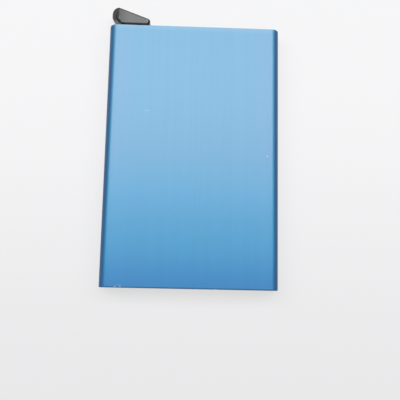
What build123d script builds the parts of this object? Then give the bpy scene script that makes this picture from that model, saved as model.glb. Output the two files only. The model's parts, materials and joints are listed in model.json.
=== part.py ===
from build123d import *
import math
import os

os.makedirs("parts", exist_ok=True)

# Slim metal card sleeve with a thumb lever that slides the cards out in a staggered fan.
# It lies on its rear face. +X is across the card, +Y points to the lever end, +Z is out of the front.
# The origin is under the middle of the whole outline, on the rear face.

# The card the sleeve is made for
card_length = 85.6
card_width = 53.98
card_side_clearance = 0.36
card_count = 5
pocket_depth = 4.8

# Sleeve, an extruded tube with full round sides
wall = 1.0
side_room = 4.15
mouth_recess = 1.0
lever_end_room = 9.4
end_break = 0.35
bore_break = 0.2
web_thickness = 0.9

# Felt friction strips on the inner walls
felt_thickness = 0.6
felt_width = 5.0
felt_length = 54.0
felt_spacing = 36.0
felt_mouth_gap = 3.5
felt_corner = 1.2

# Moulded insert at the lever end
insert_fit = 0.05
insert_depth = 13.6
insert_recess = 0.3
web_end_gap = 0.2
cheek = 0.6
rib = 1.2
card_lead_in = 0.4
arm_side_gap = 1.5
peg_radius = 0.5
peg_length = 2.2
peg_fit = 0.05
peg_end_gap = 0.3
peg_setback = 2.1
boss_radius = 1.4

# Pivot
pin_radius = 1.0
pin_seat_fit = 0.01
pin_running_fit = 0.05
pin_end_gap = 0.1
hub_radius = 4.0
hub_side_gap = 2.3
hub_card_gap = 0.2

# Stepped arm that pushes the cards
lever_side_clearance = 0.1
arm_reach = 38.0
reach_step = 6.0
rise_step = 0.9
nose_radius = 1.6
lever_swing = 38.0
rest_gap = 0.1

# Trigger outside the sleeve
trigger_rise = 7.2
trigger_reach = 14.85
trigger_side_inset = 0.46
trigger_gap = 1.0
trigger_depth_clearance = 0.2
heel_radius = 2.35
heel_side_overrun = 0.06
tip_radius = 1.1
corner_radius = 2.0
corner_inset = 3.55
neck_width = 7.2
side_face_inset = 2.8
side_edge_radius = 2.0
corner_face_inset = 1.75
tip_face_inset = 0.72
tip_face_drop = 0.47
tip_facet_turn = -23.0
trigger_break = 0.4
trigger_break_drop = 0.17
window_clearance = 0.3
floor_clearance = 0.2
ear_clearance = 0.35

# Torsion spring round the pin
wire_radius = 0.2
wire_sides = 8
coil_radius = 1.7
coil_turns = 2.5
coil_pitch = 0.62
coil_end_gap = 0.1
coil_side_gap = 0.4
leg_bend_radius = 0.45
leg_fit = 0.1
cover_leg_reach = 0.45
hub_leg_reach = 1.2

# How far a cutting solid runs past what it cuts
overrun = 2.0

# Sizes of the tube that follow from the card and the stack
sleeve_length = mouth_recess + card_length + lever_end_room
inner_gap = pocket_depth + 2 * felt_thickness
sleeve_depth = inner_gap + 2 * wall
guide_half = card_width / 2 + card_side_clearance
sleeve_width = 2 * (guide_half + side_room)
inner_width = sleeve_width - 2 * wall

# Levels and end planes in the part's own frame
mid_z = sleeve_depth / 2
mouth_y = -(sleeve_length + trigger_rise) / 2
end_y = mouth_y + sleeve_length
side_x = -sleeve_width / 2
seated_card_y = end_y - lever_end_room
insert_start_y = end_y - insert_depth
insert_end_y = end_y - insert_recess

# The hub turns just above the seated cards, inside the left side of the insert
pivot_x = side_x + hub_side_gap + hub_radius
pivot_y = seated_card_y + hub_card_gap + hub_radius
cheek_plane = inner_gap / 2 - insert_fit - cheek
lever_thickness = 2 * (cheek_plane - lever_side_clearance)
layer = lever_thickness / card_count
hub_front_z = mid_z + lever_thickness / 2
hub_rear_z = mid_z - lever_thickness / 2

# Trigger outline: a large round heel, a small round tip and a rounded lower corner
trigger_depth = inner_gap - 2 * trigger_depth_clearance
heel_x = side_x + trigger_side_inset - heel_side_overrun + heel_radius
heel_y = end_y + trigger_rise - heel_radius
tip_x = side_x + trigger_reach - tip_radius
tip_y = end_y + trigger_gap + tip_radius
corner_x = side_x + corner_inset
corner_y = end_y + trigger_gap + corner_radius

# Where the tip goes when the lever is pushed home
tip_turn_radius = math.hypot(tip_x - pivot_x, tip_y - pivot_y)
tip_angle = math.atan2(tip_y - pivot_y, tip_x - pivot_x)
pressed_tip_y = pivot_y + tip_turn_radius * math.sin(tip_angle - math.radians(lever_swing))
window_edge_x = pivot_x + tip_turn_radius + tip_radius + window_clearance
window_floor_y = pressed_tip_y - tip_radius - floor_clearance
ear_radius = end_y + trigger_gap - pivot_y - ear_clearance

# Spring ends, measured round the pin
coil_base_z = hub_front_z - coil_end_gap - wire_radius - coil_turns * coil_pitch
spring_pocket_floor = coil_base_z - wire_radius - coil_end_gap
spring_pocket_radius = coil_radius + wire_radius + coil_side_gap


def slot_bar(width, depth, start, end):
    """Bar with full round sides along Y, centred on the mid plane of the sleeve."""
    plane = Plane(origin=(0, start, mid_z), x_dir=(1, 0, 0), z_dir=(0, 1, 0))
    return extrude(plane * SlotOverall(width, depth), end - start)


def block(x_from, x_to, y_from, y_to, z_from, z_to):
    """Rectangular block between two corners."""
    size = Box(x_to - x_from, y_to - y_from, z_to - z_from)
    return Pos((x_from + x_to) / 2, (y_from + y_to) / 2, (z_from + z_to) / 2) * size


def post(x, y, radius, z_from, z_to):
    """Upright round bar."""
    return Pos(x, y, (z_from + z_to) / 2) * Cylinder(radius, z_to - z_from)


def hull_plate(discs, z_from, z_to):
    """Plate whose outline wraps round the given discs, each one x, y and radius."""
    rims = [edge for x, y, radius in discs for edge in (Pos(x, y) * Circle(radius)).edges()]
    return extrude(Pos(0, 0, z_from) * make_hull(rims), z_to - z_from)


def nose_centre(step):
    """Centre of the arm's nose on one layer, measured from the pivot."""
    rise = nose_radius - hub_radius + step * rise_step
    reach = arm_reach - step * reach_step
    return math.sqrt(reach**2 - rise**2), rise


def arm_top(offset, step):
    """Height of the arm's upper edge above the pivot, at an offset along X."""
    nose_x, nose_y = nose_centre(step)
    lean = math.asin((hub_radius - nose_radius) / math.hypot(nose_x, nose_y))
    slope = math.atan2(nose_y, nose_x) - lean
    return (hub_radius + offset * math.sin(slope)) / math.cos(slope)


def sleeve():
    """Extruded tube with two inner webs that guide the card edges."""
    tube = slot_bar(sleeve_width, sleeve_depth, mouth_y, end_y)
    rims = tube.faces().filter_by(Axis.Y).edges()
    tube = fillet(rims, end_break)
    tube -= slot_bar(inner_width, inner_gap, mouth_y - overrun, end_y + overrun)
    ends = tube.faces().filter_by(Axis.Y)
    tube = chamfer([edge for face in ends for edge in face.inner_wires()[0].edges()], bore_break)
    web_end_y = insert_start_y - web_end_gap
    reach = (inner_gap + wall) / 2
    for side in (-1, 1):
        near, far = sorted((side * guide_half, side * (guide_half + web_thickness)))
        tube += block(near, far, mouth_y + bore_break, web_end_y, mid_z - reach, mid_z + reach)
    return tube


def felt_strip(side, face):
    """Felt strip glued to the front wall (face 1) or the rear wall (face -1)."""
    outline = RectangleRounded(felt_width, felt_length, felt_corner)
    centre_y = mouth_y + felt_mouth_gap + felt_length / 2
    low = mid_z + face * inner_gap / 2 - (felt_thickness if face > 0 else 0)
    return extrude(Pos(side * felt_spacing / 2, centre_y, low) * outline, felt_thickness)


def insert_blank():
    """Outer form of the whole insert, which fills the end of the tube."""
    return slot_bar(inner_width - 2 * insert_fit, inner_gap - 2 * insert_fit, insert_start_y, insert_end_y)


def cheek_plate(z_from, z_to):
    """One side plate of the insert, open where the trigger dips in, with an ear round the pin."""
    plate = block(side_x, -side_x, insert_start_y, insert_end_y, z_from, z_to)
    plate -= block(side_x, window_edge_x, window_floor_y, insert_end_y, z_from, z_to)
    plate += post(pivot_x, pivot_y, ear_radius, z_from, z_to)
    return plate & insert_blank()


def lead_in(z_face, direction):
    """Wedge that bevels a cheek's card side at the insert's open end."""
    corner = (insert_start_y, z_face)
    along = (insert_start_y + 2 * card_lead_in, z_face)
    out = (insert_start_y, z_face + direction * card_lead_in)
    wedge = Plane.YZ * make_face(Polyline(corner, along, out, close=True))
    return extrude(wedge, guide_half, both=True)


def peg_places():
    """Three pegs: one in each side block and one in the card stop."""
    side_peg_x = guide_half + (inner_width / 2 - insert_fit - guide_half) / 3
    side_peg_y = insert_start_y + peg_setback
    return (-side_peg_x, side_peg_y), (side_peg_x, side_peg_y), (card_stop_x() + rib / 2, boss_y())


def card_stop_x():
    """Left end of the card stop, just clear of the arm's longest nose."""
    return pivot_x + arm_reach + nose_radius + arm_side_gap


def boss_y():
    """Level of the boss on the card stop, half way up the insert."""
    return (seated_card_y + insert_end_y) / 2


def mechanism_frame():
    """Rear half of the insert: cheek, end wall, side blocks, card stop and peg holes."""
    low = mid_z - cheek_plane
    high = mid_z + cheek_plane
    right = -side_x
    stop_x = card_stop_x()
    wall_y = pivot_y + arm_top(window_edge_x - pivot_x, card_count - 1) + rest_gap
    walls = block(window_edge_x, right, wall_y, insert_end_y, low, high)
    walls += block(guide_half, right, insert_start_y, insert_end_y, low, high)
    walls += block(side_x, -guide_half, insert_start_y, seated_card_y - rib / 2, low, high)
    walls += block(stop_x, guide_half, seated_card_y, seated_card_y + rib, low, high)
    for rib_x in (stop_x, (stop_x + guide_half - rib) / 2):
        walls += block(rib_x, rib_x + rib, seated_card_y, insert_end_y, low, high)
    walls += post(stop_x + rib / 2, boss_y(), boss_radius, low, high)
    walls = walls & insert_blank()
    frame = cheek_plate(mid_z - inner_gap / 2, low) + walls
    frame -= lead_in(low, -1)
    for x, y in peg_places():
        frame -= post(x, y, peg_radius + peg_fit, high - peg_length - peg_end_gap, high + overrun)
    frame -= post(pivot_x, pivot_y, pin_radius + pin_seat_fit, mid_z - inner_gap / 2, low + overrun)
    return frame


def mechanism_cover():
    """Front half of the insert: a cheek with three pegs, the pin seat and the spring leg's hole."""
    low = mid_z + cheek_plane
    high = mid_z + inner_gap / 2
    cover = cheek_plate(low, high)
    cover -= lead_in(low, 1)
    cover -= post(pivot_x, pivot_y, pin_radius + pin_seat_fit, low - overrun, high + overrun)
    leg_x, leg_y = spring_leg(coil_turns)
    cover -= post(leg_x, leg_y, wire_radius + leg_fit, low - overrun, high + overrun)
    for x, y in peg_places():
        cover += post(x, y, peg_radius, low - peg_length, low + cheek / 2)
    return cover


def pivot_pin():
    """Steel pin through both cheeks and the hub."""
    half = inner_gap / 2 - insert_fit - pin_end_gap
    return post(pivot_x, pivot_y, pin_radius, mid_z - half, mid_z + half)


def bevelled_bar(edge, face_inset):
    """Bar along Y whose flat faces start at an inset from the edge form on its left."""
    length = 2 * trigger_reach
    flat = Pos(face_inset + length / 2, 0) * Rectangle(length, trigger_depth)
    plane = Plane(origin=(0, -length / 2, 0), x_dir=(1, 0, 0), z_dir=(0, 1, 0))
    return extrude(plane * make_hull(flat.edges() + edge.edges()), length)


def round_bevel():
    """Bar with the bevel of the trigger's left side, which ends in a round edge."""
    return bevelled_bar(Pos(side_edge_radius, 0) * Circle(side_edge_radius), side_face_inset)


def facing(x, y, heading, bar):
    """The bar moved so that its left edge stands at a point and faces a heading."""
    return Pos(x, y, mid_z) * Rot(0, 0, math.degrees(heading) + 180) * bar


def side_form():
    """Form that bevels the trigger's left side."""
    return Pos(side_x + trigger_side_inset, end_y, mid_z) * round_bevel()


def corner_form():
    """The same form turned along the wall from heel to lower corner."""
    spacing = math.hypot(corner_x - heel_x, corner_y - heel_y)
    heading = math.atan2(corner_y - heel_y, corner_x - heel_x)
    outward = heading - math.acos((heel_radius - corner_radius) / spacing)
    reach = heel_radius + side_face_inset - corner_face_inset
    edge_x = heel_x + reach * math.cos(outward)
    edge_y = heel_y + reach * math.sin(outward)
    return facing(edge_x, edge_y, outward, round_bevel())


def tip_form():
    """Form that cuts a plain bevel across the trigger's tip."""
    heading = math.radians(tip_facet_turn)
    edge_x = tip_x + tip_radius * math.cos(heading)
    edge_y = tip_y + tip_radius * math.sin(heading)
    edge = Pos(tip_face_inset, 0) * Rectangle(2 * tip_face_inset, trigger_depth - 2 * tip_face_drop)
    return facing(edge_x, edge_y, heading, bevelled_bar(edge, tip_face_inset))


def trigger():
    """Thumb piece outside the sleeve, with flat faces and a bevel all round them."""
    discs = (
        (heel_x, heel_y, heel_radius),
        (tip_x, tip_y, tip_radius),
        (corner_x, corner_y, corner_radius),
    )
    low = mid_z - trigger_depth / 2
    high = mid_z + trigger_depth / 2
    body = hull_plate(discs, low, high)
    for end in (0, -1):
        face = body.faces().sort_by(Axis.Z)[end]
        body = chamfer(face.edges(), trigger_break, trigger_break_drop, reference=face)
    return body & side_form() & corner_form() & tip_form()


def eject_lever():
    """One moulding: trigger, neck, hub and the stepped arm, one layer for each card."""
    body = trigger()
    neck_left = pivot_x - hub_radius
    body += block(neck_left, neck_left + neck_width, pivot_y, corner_y, hub_rear_z, hub_front_z)
    for step in range(card_count):
        nose_x, nose_y = nose_centre(step)
        discs = ((pivot_x, pivot_y, hub_radius), (pivot_x + nose_x, pivot_y + nose_y, nose_radius))
        low = hub_rear_z + step * layer
        body += hull_plate(discs, low, low + layer)
    body -= post(pivot_x, pivot_y, pin_radius + pin_running_fit, hub_rear_z - overrun, hub_front_z + overrun)
    body -= post(pivot_x, pivot_y, spring_pocket_radius, spring_pocket_floor, hub_front_z + overrun)
    leg_x, leg_y = spring_leg(0)
    leg_floor = spring_pocket_floor - hub_leg_reach - leg_fit
    body -= post(leg_x, leg_y, wire_radius + leg_fit, leg_floor, spring_pocket_floor)
    return body


def coil_point(turns):
    """Point and direction on the coil's centre line after a number of turns."""
    angle = 2 * math.pi * turns
    climb = coil_pitch / (2 * math.pi * coil_radius)
    place = Vector(math.cos(angle) * coil_radius, math.sin(angle) * coil_radius, turns * coil_pitch)
    heading = Vector(-math.sin(angle), math.cos(angle), climb).normalized()
    return place + Vector(pivot_x, pivot_y, coil_base_z), heading


def spring_leg(turns):
    """Where the leg at one end of the coil stands, seen along the pin."""
    place, heading = coil_point(turns)
    ahead = 1 if turns else -1
    level = Vector(heading.X, heading.Y, 0).normalized()
    foot = place + level * (ahead * leg_bend_radius)
    return foot.X, foot.Y


def two_arcs(start, start_heading, end, end_heading):
    """Two arcs that join two points and keep both directions."""
    chord = end - start
    both = start_heading + end_heading
    bend = 2 * (1 - start_heading.dot(end_heading))
    lean = chord.dot(both)
    reach = (math.sqrt(lean**2 + bend * chord.dot(chord)) - lean) / bend
    first_corner = start + start_heading * reach
    last_corner = end - end_heading * reach
    middle = (first_corner + last_corner) * 0.5
    first = TangentArc(start, middle, tangent=start_heading)
    second = TangentArc(middle, end, tangent=last_corner - first_corner)
    return [first, second]


def return_spring():
    """Torsion spring: one wire, coiled round the pin, with a straight leg at each end."""
    quarters = round(4 * coil_turns)
    path = []
    hub_foot_x, hub_foot_y = spring_leg(0)
    bend_z = coil_base_z - leg_bend_radius
    hub_leg_end = Vector(hub_foot_x, hub_foot_y, spring_pocket_floor - hub_leg_reach)
    hub_leg_top = Vector(hub_foot_x, hub_foot_y, bend_z)
    path.append(Line(hub_leg_end, hub_leg_top))
    place, heading = coil_point(0)
    path += two_arcs(hub_leg_top, Vector(0, 0, 1), place, heading)
    for quarter in range(quarters):
        start, start_heading = coil_point(quarter * coil_turns / quarters)
        end, end_heading = coil_point((quarter + 1) * coil_turns / quarters)
        path += two_arcs(start, start_heading, end, end_heading)
    place, heading = coil_point(coil_turns)
    cover_foot_x, cover_foot_y = spring_leg(coil_turns)
    cover_leg_foot = Vector(cover_foot_x, cover_foot_y, place.Z + leg_bend_radius)
    cover_leg_end = Vector(cover_foot_x, cover_foot_y, mid_z + cheek_plane + cover_leg_reach)
    path += two_arcs(place, heading, cover_leg_foot, Vector(0, 0, 1))
    path.append(Line(cover_leg_foot, cover_leg_end))
    wire = Wire([edge for piece in path for edge in piece.edges()])
    section = Plane(origin=hub_leg_end, z_dir=(0, 0, 1)) * RegularPolygon(wire_radius, wire_sides)
    return sweep(section, path=wire)


pieces = {
    "sleeve": sleeve(),
    "mechanism_frame": mechanism_frame(),
    "mechanism_cover": mechanism_cover(),
    "eject_lever": eject_lever(),
    "pivot_pin": pivot_pin(),
    "return_spring": return_spring(),
}
for side, side_name in ((-1, "left"), (1, "right")):
    for face, face_name in ((1, "front"), (-1, "rear")):
        pieces[f"felt_{face_name}_{side_name}"] = felt_strip(side, face)

for name, piece in pieces.items():
    piece.label = name
    export_step(piece, f"parts/{name}.step")

wire_length = 2 * math.pi * coil_radius * coil_turns
print("sleeve", sleeve_width, sleeve_length, sleeve_depth, "whole length", sleeve_length + trigger_rise)
print("pivot", pivot_x, pivot_y, "spring wire in the coil", round(wire_length, 2))
print("least gap between turns", round(coil_pitch - 2 * wire_radius, 3))
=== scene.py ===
"""Looks of the pop up card holder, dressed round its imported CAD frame."""
import json
import math
import random

import bmesh
import bpy
from mathutils import Matrix, Vector


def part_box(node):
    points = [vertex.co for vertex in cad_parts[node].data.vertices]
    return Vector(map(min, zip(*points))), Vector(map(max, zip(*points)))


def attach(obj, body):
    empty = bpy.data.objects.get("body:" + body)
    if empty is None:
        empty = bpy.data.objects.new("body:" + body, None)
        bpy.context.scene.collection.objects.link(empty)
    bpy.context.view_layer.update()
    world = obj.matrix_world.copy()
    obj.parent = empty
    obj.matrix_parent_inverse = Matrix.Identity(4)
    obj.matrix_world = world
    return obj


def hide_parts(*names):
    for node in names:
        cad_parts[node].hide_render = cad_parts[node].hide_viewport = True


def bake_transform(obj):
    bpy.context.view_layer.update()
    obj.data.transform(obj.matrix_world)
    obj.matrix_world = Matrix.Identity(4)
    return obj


# Lengths below are in millimetres, and MM turns them into Blender's metres
MM = 0.001

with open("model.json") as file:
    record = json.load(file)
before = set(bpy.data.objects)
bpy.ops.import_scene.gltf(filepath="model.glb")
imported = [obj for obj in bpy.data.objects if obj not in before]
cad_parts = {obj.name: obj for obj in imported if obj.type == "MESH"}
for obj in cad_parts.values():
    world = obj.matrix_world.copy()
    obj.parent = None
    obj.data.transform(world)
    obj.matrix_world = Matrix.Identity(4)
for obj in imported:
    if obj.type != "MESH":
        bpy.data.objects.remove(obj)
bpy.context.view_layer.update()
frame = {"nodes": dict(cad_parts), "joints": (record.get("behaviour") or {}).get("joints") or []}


def box_mm(node):
    """Lowest and highest corner of a CAD node, in millimetres."""
    low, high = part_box(node)
    return Vector(low) / MM, Vector(high) / MM


# Sizes of the tube and of the places round it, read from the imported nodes
sleeve_low, sleeve_high = box_mm("sleeve")
sleeve_middle = (sleeve_low + sleeve_high) / 2
mid_z = sleeve_middle.z
side_radius = (sleeve_high.z - sleeve_low.z) / 2
half_length = (sleeve_high.y - sleeve_low.y) / 2
pivot = Vector(frame["joints"][0]["pos_m"]) / MM
insert_low = box_mm("mechanism_frame")[0]
spring_low, spring_high = box_mm("return_spring")

# Outer section of the sleeve's sides, crowned with fairly square corners, and its crisp rims
side_depth = 3.0
side_square = 2.4
flat_edge = sleeve_high.x - side_depth
end_break = 0.15

# Sizes that the boxes don't give, the same as in the CAD source
wall = 1.0
bore_break = 0.2
web_inner_x = 27.35
web_thickness = 0.9
web_reach = 3.5
web_end_gap = 0.2
felt_thickness = 0.6
felt_corner = 1.2
wire_radius = 0.2
coil_radius = 1.7
coil_turns = 2.5
coil_pitch = 0.62
coil_top_drop = 0.85
leg_bend_radius = 0.45

# Camera fitted to the four outline edges of the photograph, about the middle of the sleeve
PHOTO_PIXELS = 400
FOCAL_PIXELS = 548.8
SENSOR = 36.0
CAMERA_TURN_X = math.radians(-8.215)
CAMERA_TURN_Y = math.radians(1.497)
CAMERA_TURN_Z = math.radians(-1.418)
CAMERA_OFFSET = Vector((-3.058, 16.143, -200.39))

# Studio: an overhead strip of softboxes tilted towards the lever end, in metres and plain levels
STRIP_TILT = math.radians(23)
STRIP_DISTANCE = 1.2
STRIP_HEIGHT = 0.64
STRIP_WIDTH = 0.73
WING_WIDTH = 0.78
WING_TURN = math.radians(35)
LEFT_WING_STRENGTH = 1.3
RIGHT_WING_STRENGTH = 1.05
STRIP_RADIANCE = 3.8

# Pale horizon under a dim sky, which meet between two heights of the view's direction
HORIZON_LEVEL = 0.8
SKY_LEVEL = 0.1
HORIZON_TOP = 0.10
SKY_START = 0.22

# Floor, a little under the part, whose shown colour fades from the front to the back as painted shade,
# darker at the front
FLOOR_SIZE = 12000.0
FLOOR_DROP = 0.02
FLOOR_FADE_START = -90.0
FLOOR_FADE_END = 30.0
FLOOR_COLOUR = (0.60, 0.60, 0.64, 1)
FLOOR_SHOWN = (1.0, 1.0, 1.0, 1)
FLOOR_SHOWN_SHADED = (0.88, 0.88, 0.88, 1)
FLOOR_SHARE = 0.75


# Shader helpers

# Most of a noise lies in this span
NOISE_LOW = 0.3
NOISE_HIGH = 0.7

# A worn spot is full up to this part of its reach, squared
SPOT_CORE = 0.2


def new_material(name):
    """Material, its node tree and its Principled shader."""
    material = bpy.data.materials.new(name)
    material.use_nodes = True
    tree = material.node_tree
    return material, tree, tree.nodes["Principled BSDF"]


def feed(tree, socket, value):
    """Links an output to a socket, or writes a plain value on it."""
    if isinstance(value, bpy.types.NodeSocket):
        tree.links.new(value, socket)
    else:
        socket.default_value = value


def millimetres(tree, stretch=(1, 1, 1)):
    """The surface point in millimetres, stretched along each axis."""
    coords = tree.nodes.new("ShaderNodeTexCoord")
    mapping = tree.nodes.new("ShaderNodeMapping")
    mapping.inputs["Scale"].default_value = [scale / MM for scale in stretch]
    tree.links.new(coords.outputs["Object"], mapping.inputs["Vector"])
    return mapping.outputs["Vector"]


def noise(tree, vector, scale, detail, roughness):
    """Fractal noise at the point."""
    texture = tree.nodes.new("ShaderNodeTexNoise")
    texture.inputs["Scale"].default_value = scale
    texture.inputs["Detail"].default_value = detail
    texture.inputs["Roughness"].default_value = roughness
    tree.links.new(vector, texture.inputs["Vector"])
    return texture.outputs["Fac"]


def calc(tree, operation, first, second=0.0):
    """Result of one operation on one or two values."""
    node = tree.nodes.new("ShaderNodeMath")
    node.operation = operation
    feed(tree, node.inputs[0], first)
    feed(tree, node.inputs[1], second)
    return node.outputs[0]


def product(tree, first, *others):
    """All the values multiplied together."""
    for other in others:
        first = calc(tree, "MULTIPLY", first, other)
    return first


def square_sum(tree, first, second):
    """Sum of the squares of two values."""
    return calc(tree, "ADD", product(tree, first, first), product(tree, second, second))


def remap(tree, value, from_low, from_high, to_low, to_high):
    """Smooth step from one range to another."""
    node = tree.nodes.new("ShaderNodeMapRange")
    node.interpolation_type = "SMOOTHSTEP"
    node.inputs["From Min"].default_value = from_low
    node.inputs["From Max"].default_value = from_high
    node.inputs["To Min"].default_value = to_low
    node.inputs["To Max"].default_value = to_high
    feed(tree, node.inputs["Value"], value)
    return node.outputs["Result"]


def spread(tree, noise_value, to_low, to_high):
    """A noise's usual span brought to another range."""
    return remap(tree, noise_value, NOISE_LOW, NOISE_HIGH, to_low, to_high)


def lifted(tree, share, floor_level):
    """A share from 0 to 1 brought to the range from a floor level to 1."""
    return calc(tree, "ADD", product(tree, share, 1 - floor_level), floor_level)


def mix(tree, factor, first, second):
    """The first colour at factor 0, and the second at 1."""
    node = tree.nodes.new("ShaderNodeMix")
    node.data_type = "RGBA"
    feed(tree, node.inputs["Factor"], factor)
    # The colour sockets go by number, because the node's other types use the same names
    feed(tree, node.inputs[6], first)
    feed(tree, node.inputs[7], second)
    return node.outputs[2]


def scaled(tree, colour, factor):
    """The colour made lighter or darker by a factor."""
    node = tree.nodes.new("ShaderNodeHueSaturation")
    feed(tree, node.inputs["Value"], factor)
    feed(tree, node.inputs["Color"], colour)
    return node.outputs["Color"]


def bump(tree, height, strength, distance_mm):
    """Normal that follows a height."""
    node = tree.nodes.new("ShaderNodeBump")
    node.inputs["Strength"].default_value = strength
    node.inputs["Distance"].default_value = distance_mm * MM
    feed(tree, node.inputs["Height"], height)
    return node.outputs["Normal"]


def coordinate(tree, vector, axis, centre=0.0):
    """One coordinate of the point, measured from a centre."""
    split = tree.nodes.new("ShaderNodeSeparateXYZ")
    tree.links.new(vector, split.inputs["Vector"])
    return calc(tree, "SUBTRACT", split.outputs[axis], centre)


def distance(tree, point, centre):
    """Distance of the point from a centre, seen along Z."""
    across = coordinate(tree, point, "X", centre[0])
    along = coordinate(tree, point, "Y", centre[1])
    return calc(tree, "SQRT", square_sum(tree, across, along))


def ahead(tree, point, place, heading):
    """How far the point lies beyond a place along a heading, seen along Z."""
    across = product(tree, coordinate(tree, point, "X", place[0]), math.cos(heading))
    along = product(tree, coordinate(tree, point, "Y", place[1]), math.sin(heading))
    return calc(tree, "ADD", across, along)


def mark(tree, point, place, reach):
    """Soft spot on the front face: 1 at its place, 0 beyond its reach along X and Y."""
    across = calc(tree, "DIVIDE", coordinate(tree, point, "X", place[0]), reach[0])
    along = calc(tree, "DIVIDE", coordinate(tree, point, "Y", place[1]), reach[1])
    spot = remap(tree, square_sum(tree, across, along), SPOT_CORE, 1.0, 1.0, 0.0)
    front = remap(tree, coordinate(tree, point, "Z", mid_z), 0.0, 1.0, 0.0, 1.0)
    return product(tree, spot, front)


# Anodised sleeve

BLUE_FACE = (0.053, 0.258, 0.536, 1)
BLUE_GREENISH = (0.038, 0.285, 0.52, 1)
# Painted light and shade along the tube: lighter below the middle, darker at the mouth, paler at the lever
# end
BLUE_LOWER_LIT = (0.046, 0.282, 0.579, 1)
BLUE_MOUTH_SHADE = (0.034, 0.195, 0.51, 1)
BLUE_FLANK = (0.063, 0.245, 0.533, 1)
BLUE_TOP_HIGHLIGHT = (0.10, 0.30, 0.56, 1)
# Painted shade for the rounded sides and the mouth's rim
BLUE_SIDE_SHADE = (0.036, 0.095, 0.235, 1)
# Painted highlight for the lever end's rim
RIM_HIGHLIGHT_PALE = (0.17, 0.35, 0.57, 1)
BARE_METAL = (0.62, 0.66, 0.70, 1)

# Each noise here and below is a scale per millimetre, a detail and a roughness. A stretch scales
# the point along X, Y and Z first, so a small number for Y draws the noise out along the tube
CLOUD_NOISE = (0.045, 2.0, 0.5)
GRAIN_STRETCH = (7.0, 0.02, 7.0)
GRAIN_NOISE = (1.0, 3.0, 0.6)
DIE_LINE_STRETCH = (0.55, 0.006, 0.55)
DIE_LINE_NOISE = (1.0, 2.0, 0.5)
PIT_NOISE = (12.0, 2.0, 0.6)
NICK_NOISE = (0.6, 3.0, 0.6)

# Span and shares of the slow tones, and how much the extrusion's streaks lighten or darken them
CLOUD_SPAN = (0.35, 0.7)
CLOUD_SHARE = 0.12
FLANK_SHARE = 0.65
DIE_LINE_SHARE = 0.65
STREAK_CONTRAST = 0.023

# Surface of the anodising: its range of roughness, its bump's strength and depth, and the pits' part
ANODISED_ROUGHNESS = (0.42, 0.48)
ANODISED_BUMP = (0.12, 0.02)
PIT_SHARE = 0.5

# The flanks' tone sets in between these distances from the middle, in millimetres
FLANK_START = 20.0
FLANK_END = 27.0

# Painted light and shade along the tube: lighter below the middle, darker towards the mouth, paler at the
# lever end. Each has its colour, where its fade starts and ends, and its share at both
LENGTH_LIGHT_AND_SHADE = (
    (BLUE_LOWER_LIT, -20.0, -2.0, 0.9, 0.0),
    (BLUE_MOUTH_SHADE, -56.0, -34.0, 1.0, 0.0),
    (BLUE_TOP_HIGHLIGHT, sleeve_high.y - 2.5, sleeve_high.y, 0.0, 1.0),
)

# Painted shade darkening the rounded sides, and their loss of gloss, as parts of the way from the flat face
# to the side
SIDE_SHADE_START = 0.08
SIDE_SHADE_END = 0.62
GLOSS_START = 0.0
GLOSS_END = 0.36
SIDE_GLOSS = 0.02

# How far from the tube's ends each rim's tone is full and where it is gone: painted shade on the mouth's
# rim, a painted highlight on the lever end's rim, and the nicks
MOUTH_SHADE_FULL = 0.1
MOUTH_SHADE_GONE = 0.7
LEVER_RIM_HIGHLIGHT_FULL = 0.1
LEVER_RIM_HIGHLIGHT_GONE = 0.35
NICK_FULL = 0.05
NICK_GONE = 0.3
NICK_SPAN = (0.66, 0.72)
NICK_SHARE = 0.5

# Small worn spots on the front face: place, reach along X and Y, and share of bare metal
WORN_SPOTS = (
    ((-16.7, 11.8), (1.1, 0.35), 0.10),
    ((27.2, -4.0), (0.35, 0.35), 0.4),
    ((-25.5, -51.2), (0.5, 0.35), 0.35),
    ((-23.7, -51.1), (0.45, 0.35), 0.35),
    ((-24.2, -50.6), (0.7, 0.2), 0.12),
)


def rim_nicks(tree, point):
    """Small nicks of bare metal along both rims."""
    from_centre = calc(tree, "ABSOLUTE", coordinate(tree, point, "Y", sleeve_middle.y))
    near_rim = remap(tree, from_centre, half_length - NICK_GONE, half_length - NICK_FULL, 0.0, 1.0)
    nicks = remap(tree, noise(tree, point, *NICK_NOISE), *NICK_SPAN, 0.0, NICK_SHARE)
    return product(tree, near_rim, nicks)


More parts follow.
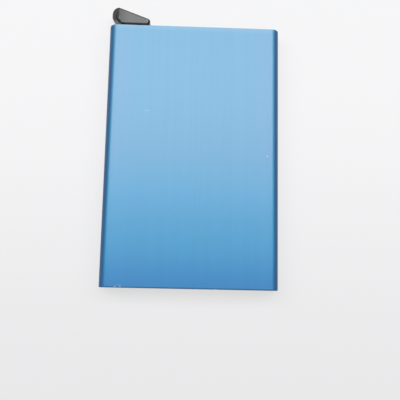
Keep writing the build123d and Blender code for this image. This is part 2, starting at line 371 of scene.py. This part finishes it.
def anodised_blue():
    """Satin dyed anodising: extrusion grain along the tube, faint clouds, nicked rims."""
    material, tree, shader = new_material("anodised_blue")
    point = millimetres(tree)
    along = coordinate(tree, point, "Y")
    from_middle = calc(tree, "ABSOLUTE", coordinate(tree, point, "X"))
    roundness = calc(tree, "DIVIDE", calc(tree, "SUBTRACT", from_middle, flat_edge), side_depth)
    mouth_rim_shade = remap(tree, along, sleeve_low.y + MOUTH_SHADE_FULL, sleeve_low.y + MOUTH_SHADE_GONE, 1.0, 0.0)
    lever_rim_highlight = remap(tree, along, sleeve_high.y - LEVER_RIM_HIGHLIGHT_GONE, sleeve_high.y - LEVER_RIM_HIGHLIGHT_FULL, 0.0, 1.0)
    cloud = noise(tree, point, *CLOUD_NOISE)
    grain = noise(tree, millimetres(tree, GRAIN_STRETCH), *GRAIN_NOISE)
    die_lines = noise(tree, millimetres(tree, DIE_LINE_STRETCH), *DIE_LINE_NOISE)
    streaks = product(tree, die_lines, DIE_LINE_SHARE)
    streaks = calc(tree, "ADD", streaks, product(tree, grain, 1 - DIE_LINE_SHARE))

    colour = mix(tree, remap(tree, cloud, *CLOUD_SPAN, 0.0, CLOUD_SHARE), BLUE_FACE, BLUE_GREENISH)
    flank = remap(tree, from_middle, FLANK_START, FLANK_END, 0.0, FLANK_SHARE)
    colour = mix(tree, flank, colour, BLUE_FLANK)
    # Painted light and shade along the tube
    for tone, start, end, start_share, end_share in LENGTH_LIGHT_AND_SHADE:
        colour = mix(tree, remap(tree, along, start, end, start_share, end_share), colour, tone)
    # Painted shade darkening the rounded sides
    colour = mix(tree, remap(tree, roundness, SIDE_SHADE_START, SIDE_SHADE_END, 0.0, 1.0), colour, BLUE_SIDE_SHADE)
    # Painted shade on the mouth's rim
    colour = mix(tree, mouth_rim_shade, colour, BLUE_SIDE_SHADE)
    colour = scaled(tree, colour, spread(tree, streaks, 1 - STREAK_CONTRAST, 1 + STREAK_CONTRAST))
    # Painted highlight on the lever end's rim
    colour = mix(tree, lever_rim_highlight, colour, RIM_HIGHLIGHT_PALE)
    colour = mix(tree, rim_nicks(tree, point), colour, BARE_METAL)
    for place, reach, share in WORN_SPOTS:
        colour = mix(tree, product(tree, mark(tree, point, place, reach), share), colour, BARE_METAL)
    feed(tree, shader.inputs["Base Color"], colour)

    feed(tree, shader.inputs["Roughness"], spread(tree, grain, *ANODISED_ROUGHNESS))
    shader.inputs["Specular IOR Level"].default_value = 0.42
    shader.inputs["Specular Tint"].default_value = (0.0, 0.6, 0.0, 1)
    shader.inputs["Coat IOR"].default_value = 1.70
    shader.inputs["Coat Roughness"].default_value = 0.29
    gloss = remap(tree, roundness, GLOSS_START, GLOSS_END, 1.0, SIDE_GLOSS)
    feed(tree, shader.inputs["Coat Weight"], product(tree, gloss, calc(tree, "SUBTRACT", 1.0, mouth_rim_shade)))
    pits = noise(tree, point, *PIT_NOISE)
    height = calc(tree, "ADD", grain, product(tree, pits, PIT_SHARE))
    feed(tree, shader.inputs["Normal"], bump(tree, height, *ANODISED_BUMP))
    return material


# Lever

LEVER_DARK = (0.028, 0.029, 0.030, 1)
LEVER_LIGHT = (0.036, 0.036, 0.037, 1)
# Painted highlight colour for the lever
LEVER_HIGHLIGHT = (0.09, 0.09, 0.09, 1)
LEVER_GRAIN_NOISE = (9.0, 3.0, 0.6)
LEVER_CLOUD_NOISE = (0.5, 2.0, 0.5)
LEVER_ROUGHNESS = (0.33, 0.41)
LEVER_BUMP = (0.15, 0.02)

# The thumb face's polish fades in from the heel along X, and from the sleeve's end along Y
POLISH_START = -30.0
POLISH_FULL = -24.0
POLISH_RISE = 0.8
POLISH_SHARE = 0.85

# Break at the lever's tip: where it starts and the way it faces, as in the CAD source. It is darkened by
# painted shade
TIP_BREAK_PLACE = (-17.40, 46.35)
TIP_BREAK_HEADING = math.radians(-23)
TIP_BREAK_FADE = (-0.05, 0.1)

# Crease round the thumb face's lower left corner, an arc that fades out above and to the right, darkened by
# painted shade.
# Its depth counts in heights of the grain
CREASE_CENTRE = (-26.6, 48.2)
CREASE_RADIUS = 2.6
CREASE_CORE = 0.1
CREASE_REACH = 0.45
CREASE_END_X = (0.0, 0.8)
CREASE_END_Y = (-0.4, 2.2)
CREASE_DEPTH = 15.0

# The least share of colour and of roughness left in the crease and on the tip's break; the darker colour
# there is painted shade
CREASE_SHADE_TONE = 0.3
CREASE_ROUGHNESS = 0.25

# Painted highlights on the lever, a lit patch on the heel and glints at the thumb face's lower left corner
# and by the tip: place, and reach along X and Y
LEVER_HIGHLIGHT_SPOTS = (
    ((-30.0, 45.9), (1.5, 1.3)),
    ((-28.15, 47.6), (0.5, 0.6)),
    ((-17.75, 46.85), (0.45, 0.35)),
)


def crease_arc(tree, point):
    """The lever's crease: 1 along the arc, 0 beside it and past its ends."""
    from_arc = calc(tree, "SUBTRACT", distance(tree, point, CREASE_CENTRE), CREASE_RADIUS)
    crease = remap(tree, calc(tree, "ABSOLUTE", from_arc), CREASE_CORE, CREASE_REACH, 1.0, 0.0)
    for axis, centre, end in zip("XY", CREASE_CENTRE, (CREASE_END_X, CREASE_END_Y)):
        crease = product(tree, crease, remap(tree, coordinate(tree, point, axis, centre), *end, 1.0, 0.0))
    return crease


def lever_grey():
    """Satin dark grey moulding with a fine spark-eroded grain and a polished thumb face."""
    material, tree, shader = new_material("lever_grey")
    point = millimetres(tree)
    grain = noise(tree, point, *LEVER_GRAIN_NOISE)
    cloud = noise(tree, point, *LEVER_CLOUD_NOISE)
    past_break = ahead(tree, point, TIP_BREAK_PLACE, TIP_BREAK_HEADING)
    before_tip = remap(tree, past_break, *TIP_BREAK_FADE, 1.0, 0.0)
    crease = crease_arc(tree, point)
    # Painted shade darkens the crease and the tip's break
    plain = product(tree, before_tip, calc(tree, "SUBTRACT", 1.0, crease))

    colour = mix(tree, cloud, LEVER_DARK, LEVER_LIGHT)
    # Painted highlights: a lit patch on the heel and glints at the thumb face's corners
    for place, reach in LEVER_HIGHLIGHT_SPOTS:
        colour = mix(tree, mark(tree, point, place, reach), colour, LEVER_HIGHLIGHT)
    feed(tree, shader.inputs["Base Color"], scaled(tree, colour, lifted(tree, plain, CREASE_SHADE_TONE)))

    roughness = spread(tree, grain, *LEVER_ROUGHNESS)
    roughness = product(tree, roughness, lifted(tree, plain, CREASE_ROUGHNESS))
    feed(tree, shader.inputs["Roughness"], roughness)
    shader.inputs["Specular IOR Level"].default_value = 0.45
    shader.inputs["Coat Roughness"].default_value = 0.33
    polish = remap(tree, coordinate(tree, point, "X"), POLISH_START, POLISH_FULL, 0.0, POLISH_SHARE)
    outside = remap(tree, coordinate(tree, point, "Y", sleeve_high.y), 0.0, POLISH_RISE, 0.0, 1.0)
    feed(tree, shader.inputs["Coat Weight"], product(tree, polish, outside, before_tip))
    height = calc(tree, "SUBTRACT", grain, product(tree, crease, CREASE_DEPTH))
    feed(tree, shader.inputs["Normal"], bump(tree, height, *LEVER_BUMP))
    return material


# Insert, steel and felt

MOULDING_DARK = (0.016, 0.016, 0.018, 1)
MOULDING_LIGHT = (0.026, 0.026, 0.029, 1)
MOULDING_NOISE = (6.0, 4.0, 0.65)
MOULDING_ROUGHNESS = (0.5, 0.62)
MOULDING_BUMP = (0.3, 0.03)

STEEL_DARK = (0.5, 0.5, 0.52, 1)
STEEL_LIGHT = (0.6, 0.6, 0.61, 1)
STEEL_NOISE = (1.5, 3.0, 0.6)
STEEL_ROUGHNESS = (0.22, 0.34)
STEEL_BUMP = (0.1, 0.005)

# Waves of the turning rings round the pivot's axis, in radians per millimetre
TURNING_RINGS = 60.0

FELT_DARK = (0.008, 0.008, 0.009, 1)
FELT_LIGHT = (0.03, 0.03, 0.032, 1)
FELT_TONE_SPAN = (0.12, 0.4)
FIBRE_NOISE = (5.0, 6.0, 0.75)
TANGLE_STRETCH = (2.2, 0.8, 2.2)
TANGLE_NOISE = (1.0, 4.0, 0.7)
FELT_BUMP = (0.8, 0.08)


def black_moulding():
    """Matte black moulding of the insert, with a coarser grain."""
    material, tree, shader = new_material("black_moulding")
    point = millimetres(tree)
    grain = noise(tree, point, *MOULDING_NOISE)
    feed(tree, shader.inputs["Base Color"], mix(tree, grain, MOULDING_DARK, MOULDING_LIGHT))
    feed(tree, shader.inputs["Roughness"], spread(tree, grain, *MOULDING_ROUGHNESS))
    feed(tree, shader.inputs["Normal"], bump(tree, grain, *MOULDING_BUMP))
    return material


def drawn_steel():
    """Bright drawn steel with faint turning rings round the pivot's axis."""
    material, tree, shader = new_material("drawn_steel")
    point = millimetres(tree)
    rings = calc(tree, "SINE", product(tree, distance(tree, point, pivot), TURNING_RINGS))
    stain = noise(tree, point, *STEEL_NOISE)
    feed(tree, shader.inputs["Base Color"], mix(tree, stain, STEEL_DARK, STEEL_LIGHT))
    shader.inputs["Metallic"].default_value = 1.0
    feed(tree, shader.inputs["Roughness"], spread(tree, stain, *STEEL_ROUGHNESS))
    feed(tree, shader.inputs["Normal"], bump(tree, rings, *STEEL_BUMP))
    return material


def wool_felt():
    """Pressed wool felt: tangled fibres in two scales, with a soft sheen."""
    material, tree, shader = new_material("wool_felt")
    fibres = noise(tree, millimetres(tree), *FIBRE_NOISE)
    tangle = noise(tree, millimetres(tree, TANGLE_STRETCH), *TANGLE_NOISE)
    tone = remap(tree, product(tree, fibres, tangle), *FELT_TONE_SPAN, 0.0, 1.0)
    feed(tree, shader.inputs["Base Color"], mix(tree, tone, FELT_DARK, FELT_LIGHT))
    shader.inputs["Roughness"].default_value = 1.0
    shader.inputs["Specular IOR Level"].default_value = 0.1
    shader.inputs["Sheen Weight"].default_value = 0.4
    shader.inputs["Sheen Roughness"].default_value = 0.6
    feed(tree, shader.inputs["Normal"], bump(tree, fibres, *FELT_BUMP))
    return material


# Mesh helpers

SHARP_ANGLE = math.radians(35)
BEVEL_SEGMENTS = 3


def make_piece(name, points, faces, material, body="root"):
    """Smooth mesh piece from points in millimetres, riding on a body if one is named."""
    mesh = bpy.data.meshes.new(name)
    mesh.from_pydata([Vector(point) * MM for point in points], [], faces)
    mesh.materials.append(material)
    shade(mesh)
    piece = bpy.data.objects.new(name, mesh)
    bpy.context.scene.collection.objects.link(piece)
    if body:
        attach(piece, body)
    return piece


def shade(mesh):
    """Turns the faces outwards, and shades them smooth up to the sharp angle."""
    work = bmesh.new()
    work.from_mesh(mesh)
    bmesh.ops.recalc_face_normals(work, faces=work.faces)
    work.to_mesh(mesh)
    work.free()
    mesh.shade_smooth()
    mesh.set_sharp_from_angle(angle=SHARP_ANGLE)


def bevel(piece, width):
    """Rounds a piece's sharp edges by a width in millimetres."""
    modifier = piece.modifiers.new("bevel", "BEVEL")
    modifier.width = width * MM
    modifier.segments = BEVEL_SEGMENTS
    modifier.limit_method = "ANGLE"


def ring_faces(rings, around, closed):
    """Quads between rings of points, with the last ring joined to the first if closed."""
    faces = []
    for ring in range(rings if closed else rings - 1):
        near = ring * around
        far = (ring + 1) % rings * around
        for spot in range(around):
            beside = (spot + 1) % around
            faces.append((near + spot, near + beside, far + beside, far + spot))
    return faces


# Sleeve

ARC_STEPS = 60
FLAT_STEPS = 24
LENGTH_STEPS = 16
RIM_STEPS = 8
SUPPORT = 0.08


def section_ring(y, inset):
    """Section of the tube at one place, moved in from the outer face by an inset.

    The outer sides are crowned with fairly square corners, and the bore's are full round."""
    outer = inset < wall / 2
    depth = side_depth if outer else side_radius
    power = 2 / side_square if outer else 1.0
    flat_end = sleeve_high.x - depth
    reach, height = depth - inset, side_radius - inset
    inner = flat_end - SUPPORT
    places = [-flat_end] + [-inner + 2 * inner * step / FLAT_STEPS for step in range(FLAT_STEPS + 1)]
    points = []
    for sign in (1, -1):
        points += [(sign * x, y, mid_z + sign * height) for x in places]
        for step in range(ARC_STEPS):
            angle = math.pi * step / ARC_STEPS
            x = flat_end + reach * math.sin(angle) ** power
            z = math.copysign(height * abs(math.cos(angle)) ** power, math.cos(angle))
            points.append((sign * x, y, mid_z + sign * z))
    return points


def rim_section(end_y, inward):
    """Places and insets from the outer face over the rim into the bore, at one end."""
    section = [(end_y + inward * (end_break + SUPPORT), 0.0)]
    for step in range(RIM_STEPS + 1):
        angle = math.pi / 2 * step / RIM_STEPS
        inset = end_break * (1 - math.cos(angle))
        section.append((end_y + inward * end_break * (1 - math.sin(angle)), inset))
    for step in range(RIM_STEPS + 1):
        angle = math.pi / 2 * step / RIM_STEPS
        inset = wall - bore_break * (1 - math.sin(angle))
        section.append((end_y + inward * bore_break * (1 - math.cos(angle)), inset))
    section.append((end_y + inward * (bore_break + SUPPORT), wall))
    return section


def sleeve_shell(material):
    """The tube's wall as one closed skin with rounded rims."""
    low, high = sleeve_low.y, sleeve_high.y
    between = [low + (high - low) * (step + 0.5) / LENGTH_STEPS for step in range(LENGTH_STEPS)]
    section = rim_section(low, 1)
    section += [(y, wall) for y in between]
    section += reversed(rim_section(high, -1))
    section += [(y, 0.0) for y in reversed(between)]
    rings = [section_ring(y, inset) for y, inset in section]
    points = [point for ring in rings for point in ring]
    faces = ring_faces(len(rings), len(rings[0]), closed=True)
    piece = make_piece("sleeve_shell", points, faces, material)
    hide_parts("sleeve")


def guide_webs(material):
    """Two webs inside the tube that guide the card edges."""
    low_y = sleeve_low.y + bore_break
    high_y = insert_low.y - web_end_gap
    faces = [(0, 1, 3, 2), (4, 6, 7, 5), (0, 4, 5, 1), (2, 3, 7, 6), (0, 2, 6, 4), (1, 5, 7, 3)]
    for side, side_name in ((-1, "left"), (1, "right")):
        corners = [
            (side * x, y, mid_z + z)
            for x in (web_inner_x, web_inner_x + web_thickness)
            for y in (low_y, high_y)
            for z in (-web_reach, web_reach)
        ]
        web = make_piece(f"guide_web_{side_name}", corners, faces, material)
        bevel(web, bore_break / 2)


# Felt strips

FELT_COLUMNS = 20
FELT_ROWS = 140
FELT_CORNER_STEPS = 7
FELT_EDGE_INSETS = (0.0, 0.05, 0.13)
FELT_EDGE = 0.24
FELT_EDGE_SHARE = 0.4
FELT_FUZZ = 0.04


def felt_columns(half):
    """Places across a strip, closer together along both edges."""
    edge = [-half + inset for inset in FELT_EDGE_INSETS]
    inner = half - FELT_EDGE
    middle = [-inner + 2 * inner * step / FELT_COLUMNS for step in range(FELT_COLUMNS + 1)]
    return edge + middle + [-x for x in reversed(edge)]


def felt_rows(half_x, half_y):
    """Places along a strip, each with the strip's half width there."""
    straight = half_y - felt_corner
    end = []
    for step in range(FELT_CORNER_STEPS + 1):
        angle = math.pi / 2 * step / FELT_CORNER_STEPS
        end.append((straight + felt_corner * math.sin(angle), half_x - felt_corner * (1 - math.cos(angle))))
    middle = [(-straight + 2 * straight * step / FELT_ROWS, half_x) for step in range(1, FELT_ROWS)]
    return [(-y, width) for y, width in reversed(end)] + middle + end


def felt_strip(node, material, seed):
    """Felt strip with crowned edges and an uneven napped face, flat against the wall."""
    chance = random.Random(seed)
    low, high = box_mm(node)
    middle = (low + high) / 2
    half_x = (high.x - low.x) / 2
    half_y = (high.y - low.y) / 2
    up = -1 if middle.z > mid_z else 1
    base_z = middle.z - up * felt_thickness / 2
    columns = felt_columns(half_x)
    rows = felt_rows(half_x, half_y)
    napped = []
    for y, width in rows:
        for x_full in columns:
            x = x_full * width / half_x
            inside = max(0.0, min(width - abs(x), half_y - abs(y), FELT_EDGE))
            crown = math.sqrt(1 - (1 - inside / FELT_EDGE) ** 2)
            nap = chance.uniform(-FELT_FUZZ, 0) * crown
            rise = felt_thickness * (FELT_EDGE_SHARE + (1 - FELT_EDGE_SHARE) * crown) + nap
            napped.append((middle.x + x, middle.y + y, base_z + up * rise))
    glued = [(x, y, base_z) for x, y, z in napped]
    faces = grid_faces(len(rows), len(columns), len(napped))
    piece = make_piece(node.replace("felt", "felt_nap"), napped + glued, faces, material)
    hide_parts(node)


def grid_faces(rows, columns, below):
    """Quads of two equal grids, one above the other, and the band that joins their outlines."""
    faces = []
    for row in range(rows - 1):
        for column in range(columns - 1):
            first = row * columns + column
            quad = (first, first + 1, first + columns + 1, first + columns)
            faces.append(quad)
            faces.append(tuple(below + spot for spot in reversed(quad)))
    rim = list(range(columns))
    rim += [row * columns + columns - 1 for row in range(1, rows)]
    rim += [(rows - 1) * columns + column for column in range(columns - 2, -1, -1)]
    rim += [row * columns for row in range(rows - 2, 0, -1)]
    for spot, beside in zip(rim, rim[1:] + rim[:1]):
        faces.append((spot, below + spot, below + beside, beside))
    return faces


# Return spring

COIL_STEPS = 48
BEND_STEPS = 8
WIRE_STEPS = 12


def spring_line():
    """Centre line of the wire from the hub's leg over the coil to the cover's leg."""
    climb = coil_turns * coil_pitch
    top_z = spring_high.z - coil_top_drop
    base_z = top_z - climb
    line = [Vector((coil_radius, -leg_bend_radius, spring_low.z))]
    for step in range(BEND_STEPS):
        angle = math.pi / 2 * step / BEND_STEPS
        y = -leg_bend_radius * math.cos(angle)
        z = base_z - leg_bend_radius * (1 - math.sin(angle))
        line.append(Vector((coil_radius, y, z)))
    steps = round(COIL_STEPS * coil_turns)
    for step in range(steps + 1):
        turn = 2 * math.pi * coil_turns * step / steps
        x, y = coil_radius * math.cos(turn), coil_radius * math.sin(turn)
        line.append(Vector((x, y, base_z + climb * step / steps)))
    for step in range(1, BEND_STEPS + 1):
        angle = math.pi / 2 * step / BEND_STEPS
        y = -leg_bend_radius * math.sin(angle)
        z = top_z + leg_bend_radius * (1 - math.cos(angle))
        line.append(Vector((-coil_radius, y, z)))
    line.append(Vector((-coil_radius, -leg_bend_radius, spring_high.z)))
    return [Vector((pivot.x + point.x, pivot.y + point.y, point.z)) for point in line]


def tube_points(line, radius, around):
    """Rings of points round a line, turned along it without twist."""
    points = []
    across = Vector((1, 0, 0))
    for spot, place in enumerate(line):
        heading = (line[min(spot + 1, len(line) - 1)] - line[max(spot - 1, 0)]).normalized()
        across = (across - heading * across.dot(heading)).normalized()
        beside = heading.cross(across)
        for step in range(around):
            angle = 2 * math.pi * step / around
            points.append(place + radius * (across * math.cos(angle) + beside * math.sin(angle)))
    return points


def return_spring(material):
    """Torsion spring of round wire, from the leg by the lever's hub over the coil to the leg in the cover.
    """
    line = spring_line()
    points = tube_points(line, wire_radius, WIRE_STEPS)
    faces = ring_faces(len(line), WIRE_STEPS, closed=False)
    faces.append(tuple(range(WIRE_STEPS)))
    faces.append(tuple(range(len(points) - WIRE_STEPS, len(points))))
    piece = make_piece("return_spring_wire", points, faces, material, body=None)
    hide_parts("return_spring")
    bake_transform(piece)


# Studio


def add_camera():
    """Camera at the photograph's viewing angle, with its focal length in the photo's pixels."""
    data = bpy.data.cameras.new("camera")
    data.sensor_fit = "HORIZONTAL"
    data.sensor_width = SENSOR
    data.lens = FOCAL_PIXELS * SENSOR / PHOTO_PIXELS
    data.clip_start = 0.01
    turn = (
        Matrix.Rotation(CAMERA_TURN_Z, 3, "Z")
        @ Matrix.Rotation(CAMERA_TURN_Y, 3, "Y")
        @ Matrix.Rotation(CAMERA_TURN_X, 3, "X")
    ).transposed()
    place = (sleeve_middle - turn @ CAMERA_OFFSET) * MM
    camera = bpy.data.objects.new("camera", data)
    camera.matrix_world = Matrix.Translation(place) @ turn.to_4x4()
    bpy.context.scene.collection.objects.link(camera)
    bpy.context.scene.camera = camera


def add_softbox(name, turn, width, strength=1.0):
    """Area light over the sleeve, tilted towards the lever end and turned to one side."""
    data = bpy.data.lights.new(name, "AREA")
    data.shape = "RECTANGLE"
    data.size = width
    data.size_y = STRIP_HEIGHT
    data.energy = strength * STRIP_RADIANCE * math.pi * width * STRIP_HEIGHT
    aim = Matrix.Rotation(-STRIP_TILT, 4, "X") @ Matrix.Rotation(turn, 4, "Y")
    light = bpy.data.objects.new(name, data)
    away = aim @ Vector((0, 0, STRIP_DISTANCE))
    light.matrix_world = Matrix.Translation(sleeve_middle * MM + away) @ aim
    bpy.context.scene.collection.objects.link(light)


def add_world():
    """Pale horizon under a dim sky."""
    world = bpy.data.worlds.new("studio")
    world.use_nodes = True
    bpy.context.scene.world = world
    tree = world.node_tree
    coords = tree.nodes.new("ShaderNodeTexCoord")
    height = coordinate(tree, coords.outputs["Generated"], "Z")
    level = remap(tree, height, HORIZON_TOP, SKY_START, HORIZON_LEVEL, SKY_LEVEL)
    tree.links.new(level, tree.nodes["Background"].inputs["Color"])


def add_floor():
    """Pale floor that keeps the shadows and shows its own pale colour, with painted shade darker towards
    the front.
    """
    bpy.ops.mesh.primitive_plane_add(size=FLOOR_SIZE * MM, location=(0, 0, -FLOOR_DROP * MM))
    floor = bpy.context.object
    floor.name = "floor"
    material, tree, shader = new_material("floor")
    shader.inputs["Base Color"].default_value = FLOOR_COLOUR
    shader.inputs["Roughness"].default_value = 0.9
    shader.inputs["Specular IOR Level"].default_value = 0.1
    glow = tree.nodes.new("ShaderNodeEmission")
    along = coordinate(tree, millimetres(tree), "Y")
    # Painted shade: the shown colour darker towards the front
    fade = remap(tree, along, FLOOR_FADE_START, FLOOR_FADE_END, 0.0, 1.0)
    feed(tree, glow.inputs["Color"], mix(tree, fade, FLOOR_SHOWN_SHADED, FLOOR_SHOWN))
    path = tree.nodes.new("ShaderNodeLightPath")
    seen = path.outputs["Is Camera Ray"]
    for ray in ("Is Glossy Ray", "Is Transmission Ray"):
        seen = calc(tree, "MAXIMUM", seen, path.outputs[ray])
    blend = tree.nodes.new("ShaderNodeMixShader")
    tree.links.new(calc(tree, "MULTIPLY", seen, FLOOR_SHARE), blend.inputs[0])
    tree.links.new(shader.outputs[0], blend.inputs[1])
    tree.links.new(glow.outputs[0], blend.inputs[2])
    tree.links.new(blend.outputs[0], tree.nodes["Material Output"].inputs["Surface"])
    floor.data.materials.append(material)


def dress(node, material):
    """Gives a CAD node its material."""
    piece = frame["nodes"][node]
    if not piece.material_slots:
        piece.data.materials.append(material)
    for slot in piece.material_slots:
        slot.material = material


add_camera()
add_world()
add_floor()
add_softbox("strip", 0.0, STRIP_WIDTH)
add_softbox("left_wing", -WING_TURN, WING_WIDTH, LEFT_WING_STRENGTH)
add_softbox("right_wing", WING_TURN, WING_WIDTH, RIGHT_WING_STRENGTH)

blue = anodised_blue()
steel = drawn_steel()
felt = wool_felt()
moulding = black_moulding()
sleeve_shell(blue)
guide_webs(blue)
for seed, node in enumerate(name for name in sorted(frame["nodes"]) if name.startswith("felt")):
    felt_strip(node, felt, seed)
return_spring(steel)
dress("mechanism_frame", moulding)
dress("mechanism_cover", moulding)
dress("eject_lever", lever_grey())
dress("pivot_pin", steel)

bpy.context.scene.view_settings.view_transform = "Standard"
